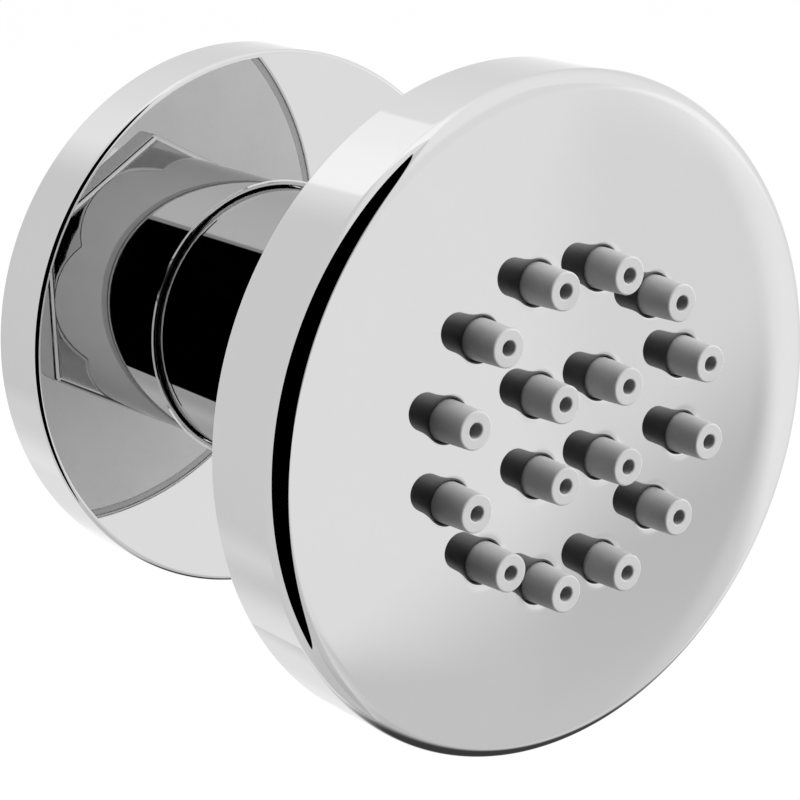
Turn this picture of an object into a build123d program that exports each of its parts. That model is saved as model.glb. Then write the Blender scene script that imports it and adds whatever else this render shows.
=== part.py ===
from build123d import *
import os
from math import atan, cos, degrees, radians, sin, sqrt

# Shower body jet, in millimetres. The axis runs along Y: the wall is at Y = 0, the jet faces -Y, up is +Z.
# Every "distance" below is measured from the wall towards the front.

# Wall flange
flange_diameter = 52.8
flange_depth = 6.5
flange_edge_round = 0.5
flange_rim_wall = 2.0
flange_web = 1.8
flange_collar_wall = 1.6
flange_seat_depth = 1.9
flange_seat_gap = 0.12
flange_seat_round = 0.12
countersink_width = 0.5
countersink_depth = 0.4
flange_bore_clearance = 0.5
gasket_width = 3.0
gasket_clearance = 0.15

# Inlet nipple with a G1/2 pipe thread, drawn at its major diameter
thread_diameter = 20.955
thread_reach = 15.0
thread_end_chamfer = 1.0
relief_start = 0.5
relief_width = 2.5
relief_depth = 0.9
washer_thickness = 1.5
washer_bore = 11.0
nipple_bore = 12.0
nipple_key_flats = 12.0
nipple_key_depth = 9.0
cup_rim_wall = 1.0
regulator_length = 6.0
regulator_shoulder = 1.5
regulator_bore = 2.4
regulator_ports = 6
regulator_port_diameter = 1.2
regulator_groove = 0.9
regulator_ring_width = 1.5
filter_length = 5.0
filter_wall = 0.6
filter_rim_width = 1.3
filter_slots = 10
filter_slot_width = 0.9

# Swivel nut: round skirt around the thread, and in front a hexagon, 27 mm across its flats
skirt_wall = 2.72
skirt_length = 19.9
skirt_chamfer = 0.3
hex_step = 0.3025
hex_length = 3.6
hex_round = 0.65
nut_sink = 1.1
thread_clearance = 0.05
mouth_depth = 6.4
mouth_chamfer = 0.5

# Ball, the two rings that it turns in, and its neck
ball_diameter = 16.0
ring_thickness = 1.2
ball_clearance = 0.3
front_ring_angles = (58.0, 84.0)
rear_ring_angles = (112.0, 140.0)
ball_tail = 5.4
neck_diameter = 9.0
neck_bore = 5.2
neck_collar_diameter = 13.0
neck_collar_length = 1.5
neck_seal_thickness = 1.0
stub_diameter = 8.0
stub_clearance = 0.05
neck_nut_flats = 13.0
neck_nut_length = 3.0

# Spray head
head_diameter = 60.0
head_depth = 9.1
head_gap = 11.0
head_edge_round = 1.9
head_back_round = 0.3
face_dome = 0.7
face_wall = 2.0
side_wall = 3.0
rim_wall = 1.15
lip_wall = 0.4
cover_thickness = 2.5
cover_clearance = 0.05
cover_web = 1.6
cover_rim_width = 3.0
boss_taper = 1.6
boss_height = 4.5
boss_wall = 2.0
nut_room = 0.6
cover_seal_depth = 1.3
cover_seal_sink = 0.12
seal_clearance = 0.02

# Silicone mat with the nozzles, and the plate that presses it to the face
outer_nozzles = 12
outer_ring_diameter = 27.35
inner_nozzles = 4
inner_ring_diameter = 10.1
nozzle_base_diameter = 3.7
nozzle_tip_diameter = 3.3
nozzle_hole_round = 0.45
nozzle_protrusion = 4.0
nozzle_tip_round = 0.12
nozzle_hole = 1.3
nozzle_inlet = 2.0
nozzle_clearance = 0.03
mat_margin = 3.0
mat_thickness = 1.4
plate_thickness = 2.0
plate_margin = 2.6
plate_hole = 1.6
screw_count = 4
screw_diameter = 2.4
screw_grip = 2.4
screw_head_diameter = 4.0
screw_head_height = 1.3
screw_recess = 0.6
screw_boss_wall = 1.5
screw_clearance = 0.1

# Distances from the wall that follow from the sizes above
flange_seat_floor = flange_depth - flange_seat_depth
nut_back = flange_depth - nut_sink
hex_back = nut_back + skirt_length
nut_front = hex_back + hex_length
ball_center = nut_front - mouth_depth
head_back = nut_front + head_gap
head_front = head_back + head_depth
boss_back = head_back - boss_height
face_inside = head_front - face_wall
mat_back = face_inside - mat_thickness
plate_back = mat_back - plate_thickness
cover_inside = head_back + cover_thickness
nozzle_tips = head_front + nozzle_protrusion

# Radii that follow from the sizes above
flange_radius = flange_diameter / 2
thread_radius = thread_diameter / 2
skirt_radius = thread_radius + skirt_wall
hex_inradius = skirt_radius + hex_step
head_radius = head_diameter / 2
ball_radius = ball_diameter / 2
ring_inside = ball_radius + ball_clearance
ring_outside = ring_inside + ring_thickness
cavity_radius = ring_outside + ball_clearance
cup_rim_radius = thread_radius - cup_rim_wall
nipple_front = ball_center - sqrt(cavity_radius**2 - cup_rim_radius**2)
cover_radius = head_radius - rim_wall - cover_clearance
mat_radius = outer_ring_diameter / 2 + nozzle_base_diameter / 2 + mat_margin
screw_boss_radius = screw_diameter / 2 + screw_boss_wall
screw_circle = mat_radius + screw_boss_radius + screw_clearance
plate_radius = screw_circle + plate_margin

# Sketch planes: radius against distance from the wall, and flat sketches that face the front
section = Plane(origin=(0, 0, 0), x_dir=(1, 0, 0), z_dir=(0, 0, -1))


def facing(distance):
    return Plane(origin=(0, -distance, 0), x_dir=(1, 0, 0), z_dir=(0, -1, 0))


def on_ball(radius, angle):
    return (radius * sin(radians(angle)), ball_center + radius * cos(radians(angle)))


def slip_ring_outline(start, end):
    middle = (start + end) / 2
    ThreePointArc(on_ball(ring_inside, start), on_ball(ring_inside, middle), on_ball(ring_inside, end))
    Line(on_ball(ring_inside, end), on_ball(ring_outside, end))
    ThreePointArc(on_ball(ring_outside, end), on_ball(ring_outside, middle), on_ball(ring_outside, start))
    Line(on_ball(ring_outside, start), on_ball(ring_inside, start))


def nozzle_circles(radius):
    with PolarLocations(outer_ring_diameter / 2, outer_nozzles, start_angle=180 / outer_nozzles):
        Circle(radius)
    with PolarLocations(inner_ring_diameter / 2, inner_nozzles, start_angle=180 / inner_nozzles):
        Circle(radius)


# Wall flange: a hollow dish with a countersunk seat for the nut and its seal
flange_bore = thread_radius + flange_bore_clearance
seat_radius = skirt_radius + flange_seat_gap
flange_inside = flange_depth - flange_web
collar_back = flange_seat_floor - flange_collar_wall
collar_radius = seat_radius + flange_collar_wall
rim_inside = flange_radius - flange_rim_wall
with BuildPart() as wall_flange:
    with BuildSketch(section) as flange_profile:
        with BuildLine():
            Polyline(
                (flange_radius, 0),
                (flange_radius, flange_depth),
                (seat_radius + countersink_width, flange_depth),
                (seat_radius, flange_depth - countersink_depth),
                (seat_radius, flange_seat_floor),
                (flange_bore, flange_seat_floor),
                (flange_bore, collar_back),
                (collar_radius, collar_back),
                (collar_radius, flange_inside),
                (rim_inside, flange_inside),
                (rim_inside, 0),
                close=True,
            )
        make_face()
        fillet(flange_profile.vertices().group_by(Axis.Y)[-1].sort_by(Axis.X)[-1], radius=flange_edge_round)
        fillet(flange_profile.vertices().group_by(Axis.Y)[-1].sort_by(Axis.X)[0], radius=flange_seat_round)
    revolve(axis=Axis.Y)
wall_flange.part.label = "wall_flange"

# Soft gasket between the flange and the wall
with BuildPart() as flange_gasket:
    with BuildSketch(facing(0)):
        Circle(rim_inside - gasket_clearance)
        Circle(rim_inside - gasket_clearance - gasket_width, mode=Mode.SUBTRACT)
    extrude(amount=flange_inside)
flange_gasket.part.label = "flange_gasket"

# Dark seal between the flange's seat and the end of the nut
with BuildPart() as flange_seal:
    with BuildSketch(facing(flange_seat_floor)):
        Circle(skirt_radius - skirt_chamfer)
        Circle(flange_bore + seal_clearance, mode=Mode.SUBTRACT)
    extrude(amount=nut_back - flange_seat_floor)
flange_seal.part.label = "flange_seal"

# Inlet nipple: thread, stepped bore, ball cup and key flats
regulator_radius = nipple_bore / 2 + regulator_shoulder
regulator_seat = regulator_length + filter_length - thread_reach
with BuildPart() as inlet_nipple:
    with BuildSketch(section):
        with BuildLine():
            Polyline(
                (0, -thread_reach),
                (thread_radius, -thread_reach),
                (thread_radius, relief_start),
                (thread_radius - relief_depth, relief_start),
                (thread_radius - relief_depth, relief_start + relief_width),
                (thread_radius, relief_start + relief_width),
                (thread_radius, nipple_front),
                (0, nipple_front),
                close=True,
            )
        make_face()
    revolve(axis=Axis.Y)
    chamfer(inlet_nipple.edges().group_by(Axis.Y)[-1], length=thread_end_chamfer)
    with BuildSketch(facing(-thread_reach)):
        Circle(nipple_bore / 2)
    extrude(until=Until.LAST, mode=Mode.SUBTRACT)
    with BuildSketch(facing(-thread_reach)):
        Circle(regulator_radius)
    extrude(amount=regulator_length + filter_length, mode=Mode.SUBTRACT)
    with BuildSketch(facing(nipple_front - nipple_key_depth)):
        RegularPolygon(radius=nipple_key_flats / 2, side_count=6, major_radius=False)
    extrude(until=Until.LAST, mode=Mode.SUBTRACT)
    with Locations((0, -ball_center, 0)):
        Sphere(cavity_radius, mode=Mode.SUBTRACT)
inlet_nipple.part.label = "inlet_nipple"

# Flow regulator: a plug with a jet, a ring of ports and a groove for its rubber ring
groove_middle = regulator_seat - regulator_length / 2
groove_radius = regulator_radius - regulator_groove
with BuildPart() as flow_regulator:
    with BuildSketch(section):
        with BuildLine():
            Polyline(
                (regulator_bore / 2, regulator_seat - regulator_length),
                (regulator_radius - seal_clearance, regulator_seat - regulator_length),
                (regulator_radius - seal_clearance, groove_middle - regulator_ring_width / 2),
                (groove_radius, groove_middle - regulator_ring_width / 2),
                (groove_radius, groove_middle + regulator_ring_width / 2),
                (regulator_radius - seal_clearance, groove_middle + regulator_ring_width / 2),
                (regulator_radius - seal_clearance, regulator_seat),
                (regulator_bore / 2, regulator_seat),
                close=True,
            )
        make_face()
    revolve(axis=Axis.Y)
    port_circle = (regulator_bore / 2 + nipple_bore / 2) / 2
    with BuildSketch(facing(regulator_seat - regulator_length)):
        with PolarLocations(port_circle, regulator_ports):
            Circle(regulator_port_diameter / 2)
    extrude(amount=regulator_length, mode=Mode.SUBTRACT)
flow_regulator.part.label = "flow_regulator"

with BuildPart() as regulator_ring:
    with BuildSketch(facing(groove_middle - regulator_ring_width / 2)):
        Circle(regulator_radius - seal_clearance)
        Circle(groove_radius, mode=Mode.SUBTRACT)
    extrude(amount=regulator_ring_width)
regulator_ring.part.label = "regulator_ring"

# Strainer: a rimmed cup with slots, in front of the regulator as the water comes
filter_radius = regulator_radius - seal_clearance
filter_cup = filter_radius - filter_rim_width
with BuildPart() as inlet_filter:
    with BuildSketch(section):
        with BuildLine():
            Polyline(
                (0, filter_length - thread_reach - filter_wall),
                (filter_cup - filter_wall, filter_length - thread_reach - filter_wall),
                (filter_cup - filter_wall, -thread_reach),
                (filter_radius, -thread_reach),
                (filter_radius, filter_wall - thread_reach),
                (filter_cup, filter_wall - thread_reach),
                (filter_cup, filter_length - thread_reach),
                (0, filter_length - thread_reach),
                close=True,
            )
        make_face()
    revolve(axis=Axis.Y)
    with BuildSketch(facing(2 * filter_wall - thread_reach)):
        with PolarLocations(filter_cup, filter_slots):
            Rectangle(4 * filter_wall, filter_slot_width)
    extrude(amount=filter_length - 4 * filter_wall, mode=Mode.SUBTRACT)
inlet_filter.part.label = "inlet_filter"

# Flat washer that seals the nipple's end in the wall fitting
with BuildPart() as inlet_washer:
    with BuildSketch(facing(-thread_reach - washer_thickness)):
        Circle(thread_radius - thread_end_chamfer)
        Circle(washer_bore / 2, mode=Mode.SUBTRACT)
    extrude(amount=washer_thickness)
inlet_washer.part.label = "inlet_washer"

# Swivel nut: filleted hexagon, skirt, threaded bore, spherical seat and mouth
with BuildPart() as swivel_nut:
    with BuildSketch(facing(hex_back)):
        RegularPolygon(radius=hex_inradius, side_count=6, major_radius=False, rotation=30)
    extrude(amount=hex_length)
    fillet(swivel_nut.edges(), radius=hex_round)
    with BuildSketch(facing(nut_back)):
        Circle(skirt_radius)
    extrude(amount=skirt_length + hex_round)
    chamfer(swivel_nut.edges().group_by(Axis.Y)[-1], length=skirt_chamfer)
    with BuildSketch(facing(nut_back)):
        Circle(thread_radius + thread_clearance)
    extrude(amount=nipple_front - nut_back + ball_clearance, mode=Mode.SUBTRACT)
    with Locations((0, -ball_center, 0)):
        Sphere(cavity_radius, mode=Mode.SUBTRACT)
    mouth_edge = swivel_nut.edges().filter_by(GeomType.CIRCLE).group_by(Axis.Y)[0]
    chamfer(mouth_edge, length=mouth_chamfer)
swivel_nut.part.label = "swivel_nut"

# Slip ring in front of the ball and sealing seat behind it, both spherical inside and outside
with BuildPart() as ball_ring:
    with BuildSketch(section):
        with BuildLine():
            slip_ring_outline(*front_ring_angles)
        make_face()
    revolve(axis=Axis.Y)
ball_ring.part.label = "ball_ring"

with BuildPart() as ball_seat:
    with BuildSketch(section):
        with BuildLine():
            slip_ring_outline(*rear_ring_angles)
        make_face()
    revolve(axis=Axis.Y)
ball_seat.part.label = "ball_seat"

# Ball with its hollow neck, clamping collar and threaded stub
seal_front = boss_back
collar_front = seal_front - neck_seal_thickness
floor_inside = boss_back + boss_wall
stub_front = floor_inside + neck_nut_length
neck_angle = sqrt(ball_radius**2 - (neck_diameter / 2) ** 2)
tail_radius = sqrt(ball_radius**2 - ball_tail**2)
with BuildPart() as swivel_ball:
    with BuildSketch(section):
        with BuildLine():
            Polyline(
                (neck_diameter / 2, ball_center + neck_angle),
                (neck_diameter / 2, collar_front - neck_collar_length),
                (neck_collar_diameter / 2, collar_front - neck_collar_length),
                (neck_collar_diameter / 2, collar_front),
                (stub_diameter / 2, collar_front),
                (stub_diameter / 2, stub_front),
                (neck_bore / 2, stub_front),
                (neck_bore / 2, ball_center - ball_tail),
                (tail_radius, ball_center - ball_tail),
            )
            ThreePointArc(
                (tail_radius, ball_center - ball_tail),
                (ball_radius, ball_center),
                (neck_diameter / 2, ball_center + neck_angle),
            )
        make_face()
    revolve(axis=Axis.Y)
swivel_ball.part.label = "swivel_ball"

with BuildPart() as neck_seal:
    with BuildSketch(facing(collar_front)):
        Circle(neck_collar_diameter / 2)
        Circle(stub_diameter / 2 + stub_clearance, mode=Mode.SUBTRACT)
    extrude(amount=neck_seal_thickness)
neck_seal.part.label = "neck_seal"

with BuildPart() as neck_nut:
    with BuildSketch(facing(floor_inside)):
        RegularPolygon(radius=neck_nut_flats / 2, side_count=6, major_radius=False)
        Circle(stub_diameter / 2 + stub_clearance, mode=Mode.SUBTRACT)
    extrude(amount=neck_nut_length)
neck_nut.part.label = "neck_nut"

# Back cover: disc with a hollow boss for the neck
boss_inside = neck_nut_flats / 2 / cos(radians(30)) + nut_room
boss_radius = boss_inside + boss_wall + boss_taper
web_inside = head_back + cover_web
with BuildPart() as back_cover:
    with BuildSketch(section):
        with BuildLine():
            Polyline(
                (stub_diameter / 2 + stub_clearance, boss_back),
                (boss_radius - boss_taper, boss_back),
                (boss_radius, head_back),
                (cover_radius, head_back),
                (cover_radius, cover_inside),
                (cover_radius - cover_rim_width, cover_inside),
                (cover_radius - cover_rim_width, web_inside),
                (boss_inside, web_inside),
                (boss_inside, floor_inside),
                (stub_diameter / 2 + stub_clearance, floor_inside),
                close=True,
            )
        make_face()
    revolve(axis=Axis.Y)
back_cover.part.label = "back_cover"

# Grey seal ring between the cover and the lip of the shell
seal_ledge = head_back + cover_seal_depth
lip_inside = head_radius - lip_wall
with BuildPart() as cover_seal:
    with BuildSketch(facing(head_back + cover_seal_sink)):
        Circle(lip_inside - seal_clearance)
        Circle(cover_radius + cover_clearance, mode=Mode.SUBTRACT)
    extrude(amount=cover_seal_depth - cover_seal_sink)
cover_seal.part.label = "cover_seal"

# Face shell: cup with a rounded front edge, a faintly domed face, screw bosses and nozzle holes
with BuildPart() as face_shell:
    with BuildSketch(section) as shell_profile:
        with BuildLine():
            Polyline(
                (head_radius, head_front),
                (head_radius, head_back),
                (lip_inside, head_back),
                (lip_inside, seal_ledge),
                (head_radius - rim_wall, seal_ledge),
                (head_radius - rim_wall, cover_inside),
                (head_radius - side_wall, cover_inside),
                (head_radius - side_wall, face_inside),
                (0, face_inside),
                (0, head_front + face_dome),
            )
            ThreePointArc(
                (0, head_front + face_dome),
                (head_radius / 2, head_front + face_dome * 3 / 4),
                (head_radius, head_front),
            )
        make_face()
        fillet(shell_profile.vertices().group_by(Axis.X)[-1].sort_by(Axis.Y)[-1], radius=head_edge_round)
        fillet(shell_profile.vertices().group_by(Axis.X)[-1].sort_by(Axis.Y)[0], radius=head_back_round)
    revolve(axis=Axis.Y)
    with BuildSketch(facing(mat_back)):
        with PolarLocations(screw_circle, screw_count):
            Circle(screw_boss_radius)
    extrude(amount=mat_thickness + face_wall / 2)
    with BuildSketch(facing(mat_back)):
        with PolarLocations(screw_circle, screw_count):
            Circle(screw_diameter / 2)
    extrude(amount=screw_grip, mode=Mode.SUBTRACT)
    with BuildSketch(facing(face_inside)):
        nozzle_circles(nozzle_base_diameter / 2 + nozzle_clearance)
    extrude(amount=face_wall + 2 * face_dome, mode=Mode.SUBTRACT)
    hole_rims = face_shell.faces().sort_by(Axis.Y)[0].inner_wires()
    fillet([rim.edges() for rim in hole_rims], radius=nozzle_hole_round)
face_shell.part.label = "face_shell"

# Nozzle mat: one silicone moulding, tapered nozzles with a fine outlet and a wider inlet
nozzle_length = nozzle_tips - face_inside
nozzle_taper = degrees(atan((nozzle_base_diameter - nozzle_tip_diameter) / 2 / nozzle_length))
with BuildPart() as nozzle_mat:
    with BuildSketch(facing(mat_back)):
        Circle(mat_radius)
    extrude(amount=mat_thickness)
    with BuildSketch(facing(face_inside)):
        nozzle_circles(nozzle_base_diameter / 2)
    extrude(amount=nozzle_length, taper=nozzle_taper)
    fillet(nozzle_mat.edges().group_by(Axis.Y)[0], radius=nozzle_tip_round)
    with BuildSketch(facing(mat_back)):
        nozzle_circles(nozzle_hole / 2)
    extrude(amount=mat_thickness + nozzle_length, mode=Mode.SUBTRACT)
    with BuildSketch(facing(mat_back)):
        nozzle_circles(nozzle_inlet / 2)
    extrude(amount=mat_thickness + nozzle_length / 2, mode=Mode.SUBTRACT)
nozzle_mat.part.label = "nozzle_mat"

# Spray plate with a hole over each nozzle and screw holes
with BuildPart() as spray_plate:
    with BuildSketch(facing(plate_back)):
        Circle(plate_radius)
    extrude(amount=plate_thickness)
    with BuildSketch(facing(plate_back)):
        nozzle_circles(plate_hole / 2)
        with PolarLocations(screw_circle, screw_count):
            Circle(screw_diameter / 2 + screw_clearance)
    extrude(amount=plate_thickness, mode=Mode.SUBTRACT)
spray_plate.part.label = "spray_plate"

# Four pan-head screws with a cross recess
with BuildPart() as plate_screws:
    with BuildSketch(facing(plate_back)):
        with PolarLocations(screw_circle, screw_count):
            Circle(screw_head_diameter / 2)
    extrude(amount=-screw_head_height)
    with BuildSketch(facing(plate_back)):
        with PolarLocations(screw_circle, screw_count):
            Circle(screw_diameter / 2)
    extrude(amount=plate_thickness + screw_grip)
    with BuildSketch(facing(plate_back - screw_head_height)):
        with PolarLocations(screw_circle, screw_count):
            Rectangle(screw_diameter, screw_recess)
            Rectangle(screw_recess, screw_diameter)
    extrude(amount=screw_recess, mode=Mode.SUBTRACT)
plate_screws.part.label = "plate_screws"

pieces = [
    wall_flange,
    flange_gasket,
    flange_seal,
    inlet_nipple,
    flow_regulator,
    regulator_ring,
    inlet_filter,
    inlet_washer,
    swivel_nut,
    ball_ring,
    ball_seat,
    swivel_ball,
    neck_seal,
    neck_nut,
    back_cover,
    cover_seal,
    face_shell,
    nozzle_mat,
    spray_plate,
    plate_screws,
]
os.makedirs("parts", exist_ok=True)
for piece in pieces:
    export_step(piece.part, f"parts/{piece.part.label}.step")
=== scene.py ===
from functools import partial
from math import atan2, cos, hypot, pi, radians, sin, sqrt, tan

import bpy
from mathutils import Matrix, Vector


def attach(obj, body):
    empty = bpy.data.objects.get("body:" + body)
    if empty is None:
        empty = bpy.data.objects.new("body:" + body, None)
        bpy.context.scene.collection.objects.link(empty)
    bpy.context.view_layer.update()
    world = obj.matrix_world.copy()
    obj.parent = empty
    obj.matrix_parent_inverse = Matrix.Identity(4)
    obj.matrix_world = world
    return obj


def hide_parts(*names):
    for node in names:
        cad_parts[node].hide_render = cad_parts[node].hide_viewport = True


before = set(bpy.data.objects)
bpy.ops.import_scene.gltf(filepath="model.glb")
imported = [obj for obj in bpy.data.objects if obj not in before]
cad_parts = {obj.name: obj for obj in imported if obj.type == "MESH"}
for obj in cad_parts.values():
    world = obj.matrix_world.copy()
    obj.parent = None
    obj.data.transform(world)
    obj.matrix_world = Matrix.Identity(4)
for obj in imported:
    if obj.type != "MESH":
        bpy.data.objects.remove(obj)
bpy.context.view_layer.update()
scene = bpy.context.scene
mm = 0.001

# mesh helpers: a section is drawn as radius against distance from the wall, the outside on its left
fineness = {"around": 192, "roundSteps": 7, "keysPerMm": 1e5, "shortest": 1e-6}


class pieceMesh:
    def __init__(self):
        self.points, self.known, self.faces, self.shading = [], {}, [], []

    def point(self, place):
        key = tuple(round(value * fineness["keysPerMm"]) for value in place)
        if key not in self.known:
            self.known[key] = len(self.points)
            self.points.append([value * mm for value in place])
        return self.known[key]

    def face(self, corners):  # corners hold a place and the direction it is shaded in
        found = [(self.point(place), shade) for place, shade in corners]
        kept = [found[i] for i in range(len(found)) if found[i][0] != found[i - 1][0]]
        if len(kept) < 3:
            return
        places = [Vector(self.points[index]) for index, shade in kept]
        facing = Vector((0, 0, 0))
        for i, place in enumerate(places):
            facing += places[i - 1].cross(place)
        if facing.dot(sum((Vector(shade) for index, shade in kept), Vector((0, 0, 0)))) < 0:
            kept.reverse()
        self.faces.append([index for index, shade in kept])
        self.shading.extend(tuple(shade) for index, shade in kept)

    def build(self, name, material):
        mesh = bpy.data.meshes.new(name)
        mesh.from_pydata(self.points, [], self.faces)
        mesh.materials.append(material)
        mesh.polygons.foreach_set("use_smooth", [True] * len(mesh.polygons))
        mesh.normals_split_custom_set(self.shading)
        mesh.update()
        return addObject(name, mesh)


def addObject(name, data):
    made = bpy.data.objects.new(name, data)
    scene.collection.objects.link(made)
    return made


def pairs(spots):  # steps between spots that hold a place and its shading
    return [first + second for first, second in zip(spots, spots[1:])]


def lineStep(start, end):
    run = Vector((end[0] - start[0], end[1] - start[1])).normalized()
    shade = (-run.y, run.x)
    return [(start, shade, end, shade)]


def arcSteps(centre, radius, start, end, count, hollow=False):  # angles from the radius axis, in radians
    side = -1 if hollow else 1
    spots = []
    for i in range(count + 1):
        angle = start + (end - start) * i / count
        shade = (cos(angle) * side, sin(angle) * side)
        spots.append(((centre[0] + radius * cos(angle), centre[1] + radius * sin(angle)), shade))
    return pairs(spots)


def section(settings, *corners):  # a corner names its radius, distance and round, or gives them as numbers
    return [tuple(settings[part] if isinstance(part, str) else part for part in corner) for corner in corners]


def sectionSteps(corners, closed=True):
    corners = [tuple(corner) + (0,) * (3 - len(corner)) for corner in corners]
    count = len(corners)
    ends, steps = [], []
    for i, (radius, distance, bend) in enumerate(corners):
        here = Vector((radius, distance))
        if not bend or (not closed and i in (0, count - 1)):
            ends.append((here, here, []))
            continue
        before = (here - Vector(corners[i - 1][:2])).normalized()
        after = (Vector(corners[(i + 1) % count][:2]) - here).normalized()
        swing = atan2(before.x * after.y - before.y * after.x, before.dot(after))
        cut = bend * tan(abs(swing) / 2)
        side = -1 if swing < 0 else 1
        left = Vector((-before.y, before.x))
        centre = here - before * cut + left * bend * side
        start = atan2(left.y, left.x)
        spots = []
        for k in range(fineness["roundSteps"] + 1):
            angle = start + swing * k / fineness["roundSteps"]
            shade = (cos(angle), sin(angle))
            spots.append((tuple(centre - Vector(shade) * bend * side), shade))
        ends.append((Vector(spots[0][0]), Vector(spots[-1][0]), pairs(spots)))
    for i in range(count):
        steps += ends[i][2]
        if closed or i < count - 1:
            start, end = tuple(ends[i][1]), tuple(ends[(i + 1) % count][0])
            if (Vector(end) - Vector(start)).length > fineness["shortest"]:
                steps += lineStep(start, end)
    return steps


def turnedSpot(radius, distance, shade, angle):  # a spot of the section, turned about the axis
    across, upright = cos(angle), sin(angle)
    return (radius * across, -distance, radius * upright), (shade[0] * across, -shade[1], shade[0] * upright)


def sweepSteps(shape, steps, angles):
    for start, startShade, end, endShade in steps:
        for before, after in zip(angles, angles[1:]):
            shape.face([turnedSpot(*start, startShade, before), turnedSpot(*end, endShade, before),
                        turnedSpot(*end, endShade, after), turnedSpot(*start, startShade, after)])


def turnSteps(shape, steps, count=fineness["around"]):
    sweepSteps(shape, steps, [2 * pi * k / count for k in range(count)] + [0])


def turnOpen(shape, settings, count, *corners):
    turnSteps(shape, sectionSteps(section(settings, *corners), False), count)


def turnPiece(name, corners, material, count=fineness["around"]):
    shape = pieceMesh()
    turnSteps(shape, sectionSteps(corners), count)
    return shape.build(name, material)


def flatRing(name, ring, softSide, material, count=fineness["around"]):  # softSide names the side with rounded edges
    corners = []
    for radius, distance in (("inner", "back"), ("inner", "front"), ("outer", "front"), ("outer", "back")):
        corners.append((ring[radius], ring[distance], ring["soft"] if softSide in (radius, distance) else 0))
    return turnPiece(name, corners, material, count)


def dress(piece, node, body):
    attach(piece, body)
    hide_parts(node)


# node helpers
def newGroup(name, kind, inputs, outputs):
    tree = bpy.data.node_groups.new(name, kind + "NodeTree")
    for side, sockets in (("INPUT", inputs), ("OUTPUT", outputs)):
        for label, socketKind in sockets:
            tree.interface.new_socket(label, in_out=side, socket_type="NodeSocket" + socketKind)
    return tree, tree.nodes.new("NodeGroupInput").outputs, tree.nodes.new("NodeGroupOutput").inputs


def newTree(name, inputs):
    return newGroup(name, "Geometry", inputs, [("Geometry", "Geometry")])


def plug(tree, source, target):
    if isinstance(source, bpy.types.NodeSocket):
        tree.links.new(source, target)
    else:
        target.default_value = source


def addNode(tree, kind, inputs=(), **settings):
    node = tree.nodes.new(kind)
    for key, value in settings.items():
        setattr(node, key, value)
    for key, value in dict(inputs).items():
        plug(tree, value, node.inputs[key])
    return node


def calc(tree, operation, *values):
    return addNode(tree, "ShaderNodeMath", dict(enumerate(values)), operation=operation).outputs[0]


def joined(tree, *parts):
    whole = addNode(tree, "GeometryNodeJoinGeometry")
    for part in parts:
        plug(tree, part, whole.inputs[0])
    return whole.outputs[0]


def shapeOf(tree, source):  # the mesh of an object that the tree is given
    return addNode(tree, "GeometryNodeObjectInfo", {"Object": source}).outputs["Geometry"]


def endTree(tree, geometry, given, out):
    real = addNode(tree, "GeometryNodeRealizeInstances", {"Geometry": geometry})
    coated = addNode(tree, "GeometryNodeSetMaterial", {"Geometry": real.outputs[0], "Material": given["Material"]})
    plug(tree, coated.outputs[0], out["Geometry"])


def grow(name, tree, values):  # runs a tree once and keeps its result as a plain mesh
    holder = addObject(name, bpy.data.meshes.new(name + "Start"))
    modifier = holder.modifiers.new(tree.name, "NODES")
    modifier.node_group = tree
    for item in tree.interface.items_tree:
        if item.item_type == "SOCKET" and item.in_out == "INPUT":
            modifier[item.identifier] = values[item.name]
    bpy.context.view_layer.update()
    grown = bpy.data.meshes.new_from_object(holder.evaluated_get(bpy.context.evaluated_depsgraph_get()))
    holder.modifiers.remove(modifier)
    holder.data = grown
    grown.name = name
    return holder


def span(tree, value, low, high, start=0.0, end=1.0, kind="SMOOTHSTEP"):
    values = {"Value": value, "From Min": low, "From Max": high, "To Min": start, "To Max": end}
    return addNode(tree, "ShaderNodeMapRange", values, interpolation_type=kind).outputs[0]


def noise(tree, vector, scale, detail, roughness=0.5):
    values = {"Vector": vector, "Scale": scale, "Detail": detail, "Roughness": roughness}
    return addNode(tree, "ShaderNodeTexNoise", values).outputs["Fac"]


def blend(tree, share, first, second, kind="MIX"):
    values = {0: share, 6: first, 7: second}  # the colour sockets of the mix node
    return addNode(tree, "ShaderNodeMix", values, data_type="RGBA", blend_type=kind).outputs[2]


# the effects that several finishes share
blackColor = (0.0, 0.0, 0.0, 1)
effectOutputs = [("Color", "Color"), ("Roughness", "Float"), ("Height", "Float")]
polish = {"broadDetail": 4.0, "fineScale": 9.0, "fineDetail": 2.0, "fineShare": 0.35, "broadShare": 0.65,
          "haze": (0.46, 0.72), "palerShare": 0.05, "paler": (0.78, 0.78, 0.78, 1), "bump": 4e-7,
          "edgeTint": (0.72, 0.72, 0.72, 1)}
polishMarks, given, out = newGroup("polishMarks", "Shader", [
    ("Vector", "Vector"), ("Color", "Color"), ("Sharp", "Float"), ("Dull", "Float"), ("Size", "Float")], effectOutputs)
work = partial(calc, polishMarks)
broad = noise(polishMarks, given["Vector"], given["Size"], polish["broadDetail"])
fine = noise(polishMarks, given["Vector"], work("MULTIPLY", given["Size"], polish["fineScale"]), polish["fineDetail"])
marks = work("MULTIPLY_ADD", fine, polish["fineShare"], work("MULTIPLY", broad, polish["broadShare"]))
haze = span(polishMarks, marks, *polish["haze"])
paler = blend(polishMarks, work("MULTIPLY", haze, polish["palerShare"]), given["Color"], polish["paler"])
plug(polishMarks, paler, out["Color"])
plug(polishMarks, span(polishMarks, haze, 0.0, 1.0, given["Sharp"], given["Dull"], "LINEAR"), out["Roughness"])
plug(polishMarks, broad, out["Height"])

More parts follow.
